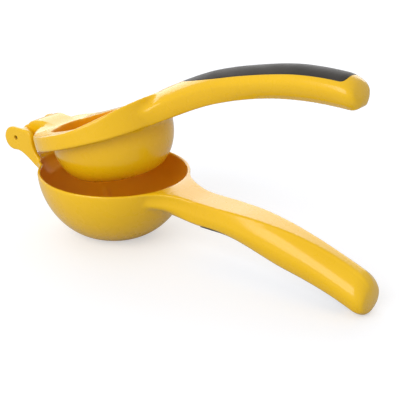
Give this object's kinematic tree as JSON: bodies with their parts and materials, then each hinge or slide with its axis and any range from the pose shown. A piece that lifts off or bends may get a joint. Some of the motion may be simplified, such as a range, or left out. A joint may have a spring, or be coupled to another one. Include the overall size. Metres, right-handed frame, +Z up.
{
  "type": "hinged lemon squeezer",
  "caption": "Hinged hand squeezer: a round perforated bowl on a long curved handle, a hollow press cup on a second handle, and a hinge pin that joins them at the bowl's far side.",
  "frame": {"origin": "middle of the bowl's flat foot, on the table", "axes": "+X from the hinge over the bowl to the handle ends, +Z up, out of the bowl's mouth, +Y along the hinge pin"},
  "size_m": [0.2081, 0.0762, 0.1046],
  "materials": {
    "enamel": "gloss",
    "steel": "satin",
    "rubber": "satin"
  },
  "bodies": {
    "lower_arm": {"lower_arm": "enamel", "lower_grip": "rubber", "hinge_pin": "steel"},
    "upper_arm": {"upper_arm": "enamel", "upper_grip": "rubber"}
  },
  "joints": [
    {"name": "hinge", "type": "hinge", "parent": "lower_arm", "child": "upper_arm", "pos_m": [-0.054, 0, 0.0419], "axis": [0, -1, 0], "range_deg": [-18.9, 131.1]}
  ]
}
